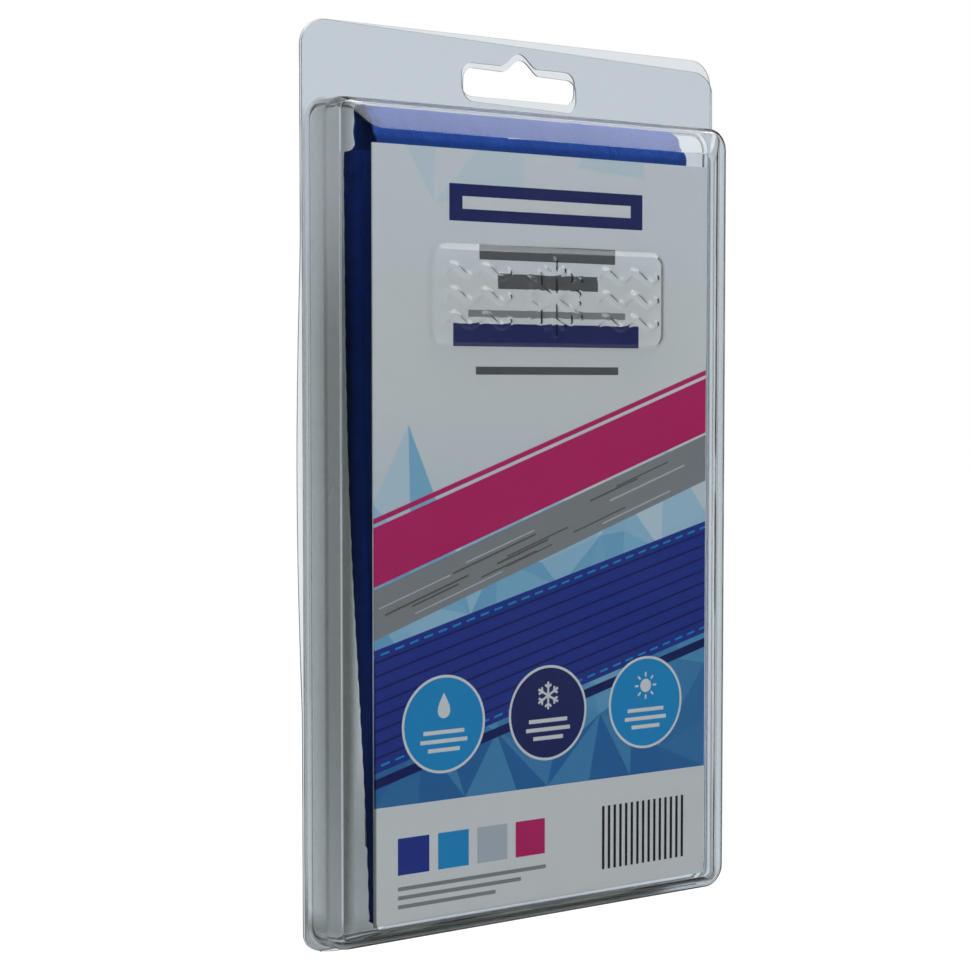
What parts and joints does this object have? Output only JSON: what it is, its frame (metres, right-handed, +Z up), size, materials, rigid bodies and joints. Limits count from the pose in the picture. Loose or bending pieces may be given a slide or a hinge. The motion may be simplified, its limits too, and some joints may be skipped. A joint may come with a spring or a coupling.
{
  "type": "insulin cooling wallet in a hang pack",
  "caption": "Clear hinged clamshell hang pack with a slotted header, holding a soft flapped evaporative cooling wallet behind a printed card.",
  "frame": {"origin": "where a display hook bears, under the arch of the header's hang slot, on the parting plane of the two halves", "axes": "+X to the right seen from the front, +Y towards the back, +Z up; the printed front faces -Y"},
  "size_m": [0.1154, 0.0154, 0.2061],
  "materials": {
    "clear_film": "clear glossy thermoformed film",
    "printed_card": "coated print, satin",
    "leaflet_paper": "uncoated paper",
    "cover_cloth": "tight woven polyester",
    "seam_thread": "overlocked edge",
    "fastener_tape": "hook and loop nap",
    "label_tape": "woven satin",
    "pouch_cloth": "plain cotton weave",
    "dry_crystals": "dry granules"
  },
  "bodies": {
    "back_half": {"back_shell": "clear_film", "living_hinge": "clear_film", "instruction_leaflet": "leaflet_paper", "cover_front_panel": "cover_cloth", "cover_back_panel": "cover_cloth", "seam_binding_left": "seam_thread", "seam_binding_right": "seam_thread", "seam_binding_foot": "seam_thread", "loop_tape": "fastener_tape", "woven_label": "label_tape", "pouch_front_panel": "pouch_cloth", "pouch_front_lining": "pouch_cloth", "pouch_back_panel": "pouch_cloth", "pouch_back_lining": "pouch_cloth", "crystal_front_1": "dry_crystals", "crystal_front_2": "dry_crystals", "crystal_front_3": "dry_crystals", "crystal_back_1": "dry_crystals", "crystal_back_2": "dry_crystals", "crystal_back_3": "dry_crystals"},
    "front_half": {"front_shell": "clear_film", "front_card": "printed_card"},
    "flap": {"cover_flap": "cover_cloth", "hook_tape": "fastener_tape"}
  },
  "joints": [
    {"name": "shell_hinge", "type": "hinge", "parent": "back_half", "child": "front_half", "pos_m": [0, 0, -0.2009], "axis": [1, 0, 0], "range_deg": [0, 180]},
    {"name": "flap_fold", "type": "hinge", "parent": "back_half", "child": "flap", "pos_m": [0, -0.0022, -0.01525], "axis": [-1, 0, 0], "range_deg": [0, 95]}
  ],
  "couplings": [
    {"joint": "flap_fold", "follows": "shell_hinge", "ratio": 0.5277}
  ]
}
